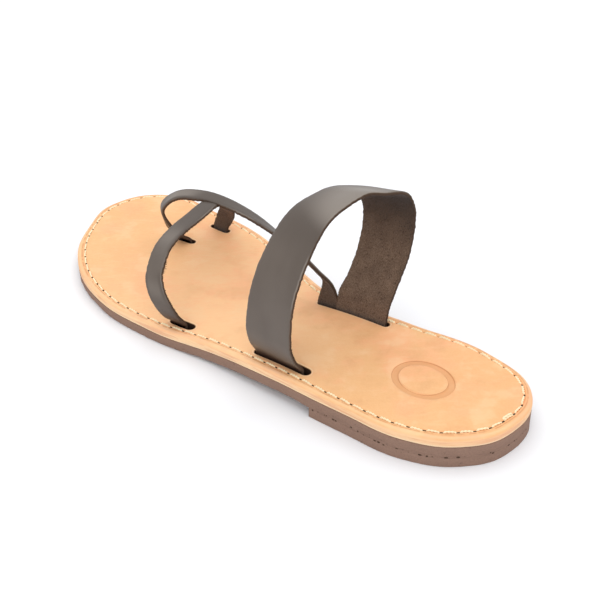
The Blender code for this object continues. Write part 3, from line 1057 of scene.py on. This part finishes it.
class SANDAL_OT_rubber_sole(Operator):
    """Brown rubber sheet under the footbed and the lift under its heel"""

    bl_idname = "sandal.rubber_sole"
    bl_label = "Rubber Sole"

    # Columns: distance inwards from the edge, height as a share of the layer
    SHEET_EDGE = ((0.25, 1.0), (0.08, 0.97), (0.0, 0.9), (-0.02, 0.7))
    LIFT_EDGE = ((0.0, 1.0), (0.0, 0.6))
    # Columns: distance inwards and height, both in radii of the lower edge
    ROUNDING = ((0.0, 1.0), (0.08, 0.6), (0.3, 0.28), (0.62, 0.07), (1.0, 0.0))
    LIFT_ROUNDING = 0.4
    # The sheet's lower edge is sharp on the lift, sanded in the waist and most at the toe
    # Columns: radius that is added, place along the sole where it starts, length over which it grows
    SHEET_SHARP = 0.03
    SHEET_SANDING = ((0.9, HEEL_BREAST + 1, 8.0), (1.4, 165.0, 45.0))
    RAGGED = 0.16
    SEAM_HALF = 0.7
    # Pits along the heel's seam: the share of places that have one, and the spread of their sizes and places
    PIT_SPACING = 2.4
    PIT_SHARE = 0.6
    PIT_RADIUS = 0.36
    PIT_SIZES = (0.25, 1.15)
    PIT_LENGTH = 2.2
    PIT_DRIFT = 0.2
    PIT_RUN = 3
    # Distance of a pit outside the edge, below the seam and behind the breast
    PIT_OUT = 0.02
    PIT_DROP = 0.1
    PIT_CLEAR = 1

    def execute(self, context):
        colours = context.scene.sandal_colours
        finish = new_finish("sole_rubber", sole_rubber, colours)
        sheet = self.layer(RUBBER_SHEET + LAYER_GAP - GLUE_LINE, self.SHEET_EDGE, self.sheet_rounding)
        self.finish_layer("rubber_sheet", sheet, finish, "outsole", sheet_rise)
        lift = self.layer(HEEL_RISE - GLUE_LINE, self.LIFT_EDGE, self.lift_rounding)
        parts = [*lift.verts, *lift.edges, *lift.faces]
        breast = (0.0, HEEL_BREAST, 0.0)
        cut = bmesh.ops.bisect_plane(lift, geom=parts, plane_co=breast, plane_no=(0, 1, 0), clear_outer=True)
        bmesh.ops.edgeloop_fill(lift, edges=of_kind(cut["geom_cut"], BMEdge))
        self.finish_layer("heel_lift_rubber", lift, finish, "heel_lift", np.zeros_like)
        self.pits(colours)
        return {"FINISHED"}

    def sheet_rounding(self, y):
        radius = self.SHEET_SHARP
        for added, start, run in self.SHEET_SANDING:
            radius = radius + added * smoothstep((y - start) / run)
        return radius

    def lift_rounding(self, y):
        return np.full_like(y, self.LIFT_ROUNDING)

    def layer(self, thickness, edge, rounding):
        """Plate of the sole's outline with a softly cut side and a rounded lower edge."""
        rim = sole_outline()
        bm = new_body()
        random = np.random.default_rng(SEED)
        radius = rounding(rim.points[:, 1])
        (inset, height), *below = edge
        ring = grow_ring(bm, None, rim.at(inset, height * thickness))
        faces = fill(bm, [ring])
        for inset, height in below:
            ring = grow_ring(bm, ring, rim.at(inset, height * thickness))
        for inset, height in self.ROUNDING:
            wander = np.convolve(random.normal(0.0, self.RAGGED, len(radius) + 2), np.ones(3) / 3, "valid")
            inset = inset * radius + wander * np.minimum(radius, 1.0)
            ring = grow_ring(bm, ring, rim.at(inset, height * radius))
        faces += fill(bm, [ring])
        cut_grid(bm, faces, 1, 2 * GRID_SPACING)
        return bm

    def finish_layer(self, name, bm, finish, node, rise):
        """Lifts a layer to its place and marks where the seam of the heel runs."""
        close_up(bm)
        places = places_of(bm)
        places[:, 2] += rise(places[:, 1])
        put(bm, places)
        beside = np.abs(places[:, 2] - HEEL_RISE)
        store(bm, "seam", (1 - smoothstep(beside / self.SEAM_HALF)) * (places[:, 1] < HEEL_BREAST))
        new_piece(name, bm, [finish], [node])

    def pits(self, colours):
        """Row of small pits of painted shade along the seam between sheet and lift."""
        random = np.random.default_rng(SEED)
        rim = Loop(evenly(sole_outline().points, self.PIT_SPACING))
        bm = bmesh.new()
        for place, inward in zip(rim.at(-self.PIT_OUT, HEEL_RISE - self.PIT_DROP), rim.inward):
            radius = self.PIT_RADIUS * random.uniform(*self.PIT_SIZES)
            stretch = random.uniform(1.0, self.PIT_LENGTH)
            drift = random.normal(0.0, self.PIT_DRIFT, 2)
            kept = random.random() < self.PIT_SHARE
            if place[1] > HEEL_BREAST - self.PIT_CLEAR or not kept:
                continue
            turn = Vector((*-inward, 0.0)).to_track_quat("Z", "Y").to_matrix().to_4x4()
            along = Vector((inward[1], -inward[0], 0.0)) * drift[0] * self.PIT_RUN
            centre = Matrix.Translation(Vector(place) + along + Vector((0, 0, drift[1])))
            plug(bm, radius, centre @ turn @ Matrix.Diagonal((stretch, 1.0, 1.0, 1.0)))
        finish = new_finish("rubber_pit", dark_hole, colours.flesh_dark, colours.rubber_dark)
        new_piece("seam_pits", bm, [finish], [])


def with_legs(sections):
    """Strap sections with the straight ends that go down through the footbed."""
    rows = np.array(sections).reshape(-1, 2, 3)
    legs = rows[[0, -1]]
    legs[..., 2] = footbed_underside(legs[..., 1]) + LAYER_GAP
    return np.concatenate([legs[:1], rows, legs[1:]])


def smooth_sections(rows):
    """Sections on a smooth curve through the given ones, with the first and last span straight."""
    along = travelled(rows.mean(axis=1))
    slope = (rows[2:] - rows[:-2]) / (along[2:] - along[:-2])[:, None, None]
    out = [rows[0]]
    for k in range(1, len(rows) - 2):
        span = along[k + 1] - along[k]
        for t in np.arange(STRAP_STEPS) / STRAP_STEPS:
            start = (1 + 2 * t) * (1 - t) ** 2 * rows[k] + t * (1 - t) ** 2 * span * slope[k - 1]
            end = t * t * (3 - 2 * t) * rows[k + 1] + t * t * (t - 1) * span * slope[k]
            out.append(start + end)
    return np.array([*out, rows[-2], rows[-1]])


class Cut:
    """Cross section of a strap: a flat bar with a round grain edge and a sharper flesh edge.

    The grain side lies a little outside the line of the strap's sections.
    """

    GRAIN, FLESH, EDGE = 0, 1, 2
    CORNER_STEPS = 4
    GRAIN_SIDE = 1.0
    # Radius of the flesh edge in radii of the grain edge
    FLESH_EDGE = 0.4

    def __init__(self, width, thickness, radius):
        outer = self.GRAIN_SIDE
        inner = outer - thickness
        flesh = radius * self.FLESH_EDGE
        quarter = np.linspace(0.0, math.pi / 2, self.CORNER_STEPS + 1)
        across = np.linspace(radius, width - radius, STRAP_ACROSS + 1)
        back = np.linspace(width - flesh, flesh, STRAP_ACROSS // 2 + 1)
        corners = (
            (width - radius, outer - radius, radius, math.pi / 2 - quarter),
            (width - flesh, inner + flesh, flesh, -quarter),
            (flesh, inner + flesh, flesh, -math.pi / 2 - quarter),
            (radius, outer - radius, radius, math.pi - quarter),
        )
        arcs = [np.column_stack([x + r * np.cos(a), z + r * np.sin(a)]) for x, z, r, a in corners]
        parts = (
            (np.column_stack([across, np.full(len(across), outer)]), self.GRAIN),
            (arcs[0][1:], self.GRAIN),
            (arcs[1], self.EDGE),
            (np.column_stack([back, np.full(len(back), inner)])[1:], self.FLESH),
            (arcs[2][1:], self.EDGE),
            (arcs[3][:1], self.EDGE),
            (arcs[3][1:-1], self.GRAIN),
        )
        self.points = np.vstack([part for part, _ in parts])
        self.side = np.concatenate([np.full(len(part), side) for part, side in parts])
        self.depth = (outer - self.points[:, 1]) / thickness
        self.rim = np.minimum(self.points[:, 0], width - self.points[:, 0])
        self.girth = closed_line(self.points)[1]


class Run:
    """The way of a strap: its rows, their directions and their distances along it."""

    EDGE_CURL = 0.35

    def __init__(self, sections):
        rows = smooth_sections(with_legs(sections))
        middle = rows.mean(axis=1)
        self.front = rows[:, 0]
        across = rows[:, 1] - self.front
        self.widths = np.linalg.norm(across, axis=1)
        self.width = float(self.widths.mean())
        self.side = unit(across)
        self.ahead = unit(np.gradient(middle, axis=0))
        self.outward = unit(np.cross(self.side, self.ahead))
        self.along = travelled(middle)

    def sink(self, row, across, dents):
        """Depth of the dents and of the curled edges at places across one row."""
        arch = math.sin(math.pi * row / len(self.along))
        depth = self.EDGE_CURL * (2 * across / self.width - 1) ** 4 * arch
        for part, side, long, wide, deep in dents:
            reach = math.exp(-(((self.along[row] - part * self.along[-1]) / long) ** 2))
            depth = depth + deep * reach * np.exp(-(((across - side * self.width) / wide) ** 2))
        return depth

    def places(self, row, across, height, dents):
        """Places of one row from distances across the strap and heights above its middle."""
        stretch = self.widths[row] / self.width
        lift = height - self.sink(row, across, dents)
        flat = self.front[row] + np.outer(across * stretch, self.side[row])
        return flat + np.outer(lift, self.outward[row])


def strap_bodies(straps, size, seed):
    """Bmesh of straps, each given by its sections and dents."""
    random = np.random.default_rng(seed)
    bm = new_body()
    for name in ("along", "end", "depth", "rim"):
        bm.verts.layers.float.new(name)
    bm.loops.layers.uv.new("surface")
    for sections, dents in straps:
        strap_body(bm, sections, dents, size, random)
    bmesh.ops.recalc_face_normals(bm, faces=bm.faces)
    return bm


def strap_body(bm, sections, dents, size, random):
    """Sweeps a strap's cross section along its sections into the bmesh."""
    run = Run(sections)
    cut = Cut(run.width, size["strap_leather"], size["strap_edge"])
    across = cut.points[:, 0]
    ragged = random.normal(0.0, STRAP_RAGGED, (len(run.along), 2))
    along = bm.verts.layers.float["along"]
    end = bm.verts.layers.float["end"]
    first = len(bm.faces)
    ring = None
    for row, distance in enumerate(run.along):
        pull = np.where(across < run.width / 2, *ragged[row])
        slide = across + pull * np.abs(2 * across / run.width - 1) ** RAGGED_POWER
        ring = grow_ring(bm, ring, run.places(row, slide, cut.points[:, 1], dents))
        for vert in {vert for edge in ring for vert in edge.verts}:
            vert[along] = distance
            vert[end] = min(distance, run.along[-1] - distance)
    bmesh.ops.holes_fill(bm, edges=bm.edges)
    label_strap(bm, cut, first)


def label_strap(bm, cut, first):
    """Gives each face of a new strap its side of the leather and its place on the strap's surface."""
    order = bm.verts.layers.int["order"]
    along, depth, rim = (bm.verts.layers.float[name] for name in ("along", "depth", "rim"))
    surface = bm.loops.layers.uv["surface"]
    last = len(cut.points) - 1
    bm.faces.ensure_lookup_table()
    for face in bm.faces[first:]:
        indices = [vert[order] for vert in face.verts]
        wraps = last in indices and 0 in indices
        face.material_index = int(cut.side[0 if wraps else max(indices)]) if len(indices) == 4 else cut.EDGE
        for loop in face.loops:
            index = loop.vert[order]
            loop.vert[depth] = cut.depth[index]
            loop.vert[rim] = cut.rim[index]
            loop[surface].uv = (loop.vert[along], cut.girth[-1] if wraps and index == 0 else cut.girth[index])


def strap_finishes(colours):
    """The three sides of the strap leather, made once for all straps."""
    sides = {"strap_grain": strap_grain, "strap_flesh": strap_flesh, "strap_edge": strap_edge}
    return [bpy.data.materials.get(name) or new_finish(name, paint, colours) for name, paint in sides.items()]


class SANDAL_OT_instep_strap(Operator):
    """Wide strap over the instep, with its raw edges and bare flesh side"""

    bl_idname = "sandal.instep_strap"
    bl_label = "Instep Strap"

    def execute(self, context):
        size = millimetres(context.scene.sandal_sizes)
        bm = strap_bodies([(INSTEP_SECTIONS, INSTEP_DENTS)], size, SEED)
        finishes = strap_finishes(context.scene.sandal_colours)
        new_piece("instep_strap_leather", bm, finishes, ["instep_strap"])
        return {"FINISHED"}


class SANDAL_OT_toe_straps(Operator):
    """Narrow cross strap over the toes and the long strap over it, from the toe post to the instep"""

    bl_idname = "sandal.toe_straps"
    bl_label = "Toe Straps"

    def execute(self, context):
        size = millimetres(context.scene.sandal_sizes)
        straps = [(CROSS_SECTIONS, CROSS_DENTS), (LONG_SECTIONS, LONG_DENTS)]
        bm = strap_bodies(straps, size, SEED + 1)
        store(bm, "dusk", np.ones(len(bm.verts)))
        finishes = strap_finishes(context.scene.sandal_colours)
        new_piece("toe_straps_leather", bm, finishes, ["toe_straps"])
        return {"FINISHED"}


class SANDAL_OT_edge_fibres(Operator):
    """Loose fibres along the raw edges of the straps"""

    bl_idname = "sandal.edge_fibres"
    bl_label = "Edge Fibres"

    # Columns: sections, dents, fibres for each millimetre
    STRAPS = (
        (INSTEP_SECTIONS, INSTEP_DENTS, 6.0),
        (CROSS_SECTIONS, CROSS_DENTS, 5.0),
        (LONG_SECTIONS, LONG_DENTS, 4.0),
    )
    # Rows at a strap's ends without fibres, and the share of fibres on its back edge
    BARE_ROWS = 6
    BACK_SHARE = 0.6
    LENGTHS = (0.15, 0.6)
    # Tuft on the cross strap's back edge: part of the length, fibres, rows to each side, lengths
    TUFT_PART = 0.25
    TUFT_COUNT = 40
    TUFT_ROWS = 4
    TUFT_LENGTHS = (0.6, 1.9)
    # Depth of a root in the leather, spread of the lean along the strap, droop to the flesh side
    ROOTS = (0.35, 1.0)
    LEAN = 0.7
    DROOP = (-0.2, 0.6)
    # Radius, with the share of it for a fibre of no length, its growth with length and the share at the tip
    RADIUS = 0.06
    THIN = 0.7
    GROWTH = 0.6
    TIP = 0.2
    SIDES = 3
    # Part of the length from the root to the middle of what is made
    MIDDLE = 0.4

    def execute(self, context):
        size = millimetres(context.scene.sandal_sizes)
        random = np.random.default_rng(SEED)
        bm = bmesh.new()
        for sections, dents, density in self.STRAPS:
            run = Run(sections)
            for _ in range(round(density * run.along[-1])):
                row = int(random.integers(self.BARE_ROWS, len(run.along) - self.BARE_ROWS))
                on_back = random.random() < self.BACK_SHARE
                self.fibre(bm, run, dents, row, on_back, random.uniform(*self.LENGTHS), size, random)
        run = Run(CROSS_SECTIONS)
        middle = int(np.searchsorted(run.along, self.TUFT_PART * run.along[-1]))
        for _ in range(self.TUFT_COUNT):
            row = middle + int(random.integers(-self.TUFT_ROWS, self.TUFT_ROWS + 1))
            self.fibre(bm, run, CROSS_DENTS, row, True, random.uniform(*self.TUFT_LENGTHS), size, random)
        finishes = strap_finishes(context.scene.sandal_colours)
        new_piece("edge_fibres", bm, finishes[Cut.EDGE:], [])
        return {"FINISHED"}

    def fibre(self, bm, run, dents, row, on_back, long, size, random):
        """Adds one thin fibre that stands out from the back or front edge of a strap."""
        across = np.array([run.width if on_back else 0.0])
        height = Cut.GRAIN_SIDE - size["strap_leather"] * random.uniform(*self.ROOTS)
        root = run.places(row, across, height, dents)[0]
        out = run.side[row] * (1 if on_back else -1)
        way = out + run.ahead[row] * random.normal(0.0, self.LEAN)
        way = way - run.outward[row] * random.uniform(*self.DROOP)
        turn = Vector(way).to_track_quat("Z", "Y").to_matrix().to_4x4()
        matrix = Matrix.Translation(root) @ turn @ Matrix.Translation((0, 0, long * self.MIDDLE))
        thick = self.RADIUS * (self.THIN + self.GROWTH * long)
        sizes = {"segments": self.SIDES, "radius1": thick, "radius2": self.TIP * thick, "depth": long}
        bmesh.ops.create_cone(bm, cap_ends=True, matrix=matrix, **sizes)


class SANDAL_OT_stage(Operator):
    """Plain pale floor, soft studio light and the camera of the photograph"""

    bl_idname = "sandal.stage"
    bl_label = "Stage"

    FLOOR_HALF = 6.0
    # Columns: name, place, size, power
    LAMPS = (
        ("overhead_softbox", (0.2, 0.3, 1.4), 2.4, 5.0),
        ("front_softbox", (-1.0, -0.9, 1.1), 1.8, 5.0),
    )
    SKY_TINT = (0.97, 0.985, 1.0)
    # Strength of the sky's light below and above, and the heights between which it rises
    SKY_LOW = 0.66
    SKY_HIGH = 1.12
    SKY_RISE = (-0.1, 0.9)

    def execute(self, context):
        scene = context.scene
        bm = bmesh.new()
        bmesh.ops.create_grid(bm, x_segments=4, y_segments=4, size=self.FLOOR_HALF)
        floor = new_object("floor", bm, [new_finish("plain_floor", plain_floor, scene.sandal_colours)])
        for name, place, width, power in self.LAMPS:
            self.lamp(scene, name, Vector(place), width, power)
        self.sky(scene)
        self.camera(scene)
        return {"FINISHED"}

    def lamp(self, scene, name, place, width, power):
        light = bpy.data.lights.new(name, "AREA")
        light.shape = "DISK"
        light.size = width
        light.energy = power
        lamp = bpy.data.objects.new(name, light)
        lamp.location = place
        lamp.rotation_euler = (-place).to_track_quat("-Z", "Y").to_euler()
        scene.collection.objects.link(lamp)

    def sky(self, scene):
        """Pale sky that is brighter overhead, and white where the camera sees it."""
        world = bpy.data.worlds.new("studio")
        world.use_nodes = True
        shade = Shade(world.node_tree)
        height = shade.place("Generated").axis("Z")
        seen = shade.node("ShaderNodeLightPath", output="Is Camera Ray")
        light = self.SKY_LOW + height.step(*self.SKY_RISE) * (self.SKY_HIGH - self.SKY_LOW)
        background = world.node_tree.nodes["Background"]
        shade.feed(background.inputs["Color"], (*self.SKY_TINT, 1.0))
        shade.feed(background.inputs["Strength"], shade.math("MAXIMUM", light, seen))
        scene.world = world
        scene.view_settings.view_transform = "Standard"

    def camera(self, scene):
        data = bpy.data.cameras.new("photo_view")
        data.lens = CAMERA_LENS
        camera = bpy.data.objects.new("photo_view", data)
        ahead = (CAMERA_TARGET - CAMERA_PLACE).normalized()
        right = ahead.cross(Vector((0, 0, 1))).normalized()
        level = Matrix((right, right.cross(ahead), -ahead)).transposed()
        turned = level @ Matrix.Rotation(CAMERA_ROLL, 3, "Z")
        camera.matrix_world = Matrix.Translation(CAMERA_PLACE) @ turned.to_4x4()
        scene.collection.objects.link(camera)
        scene.camera = camera


OPERATORS = (
    SANDAL_OT_stage,
    SANDAL_OT_footbed,
    SANDAL_OT_stitching,
    SANDAL_OT_rubber_sole,
    SANDAL_OT_instep_strap,
    SANDAL_OT_toe_straps,
    SANDAL_OT_edge_fibres,
)


class SANDAL_PT_panel(Panel):
    """Lists the sandal's pieces, sizes and colours"""

    bl_label = "Sandal"
    bl_idname = "SANDAL_PT_panel"
    bl_space_type = "VIEW_3D"
    bl_region_type = "UI"
    bl_category = "Sandal"

    def draw(self, context):
        for operator in OPERATORS:
            self.layout.operator(operator.bl_idname)
        for group in (context.scene.sandal_sizes, context.scene.sandal_colours):
            box = self.layout.box()
            for name in group.__annotations__:
                box.prop(group, name)


CLASSES = (SandalSizes, SandalColours, *OPERATORS, SANDAL_PT_panel)


def register():
    for cls in CLASSES:
        bpy.utils.register_class(cls)
    bpy.types.Scene.sandal_sizes = PointerProperty(type=SandalSizes)
    bpy.types.Scene.sandal_colours = PointerProperty(type=SandalColours)


def unregister():
    del bpy.types.Scene.sandal_colours
    del bpy.types.Scene.sandal_sizes
    for cls in reversed(CLASSES):
        bpy.utils.unregister_class(cls)


def main():
    register()
    bpy.ops.sandal.stage()
    bpy.ops.sandal.footbed()
    bpy.ops.sandal.stitching()
    bpy.ops.sandal.rubber_sole()
    bpy.ops.sandal.instep_strap()
    bpy.ops.sandal.toe_straps()
    bpy.ops.sandal.edge_fibres()


if __name__ == "__main__":
    main()
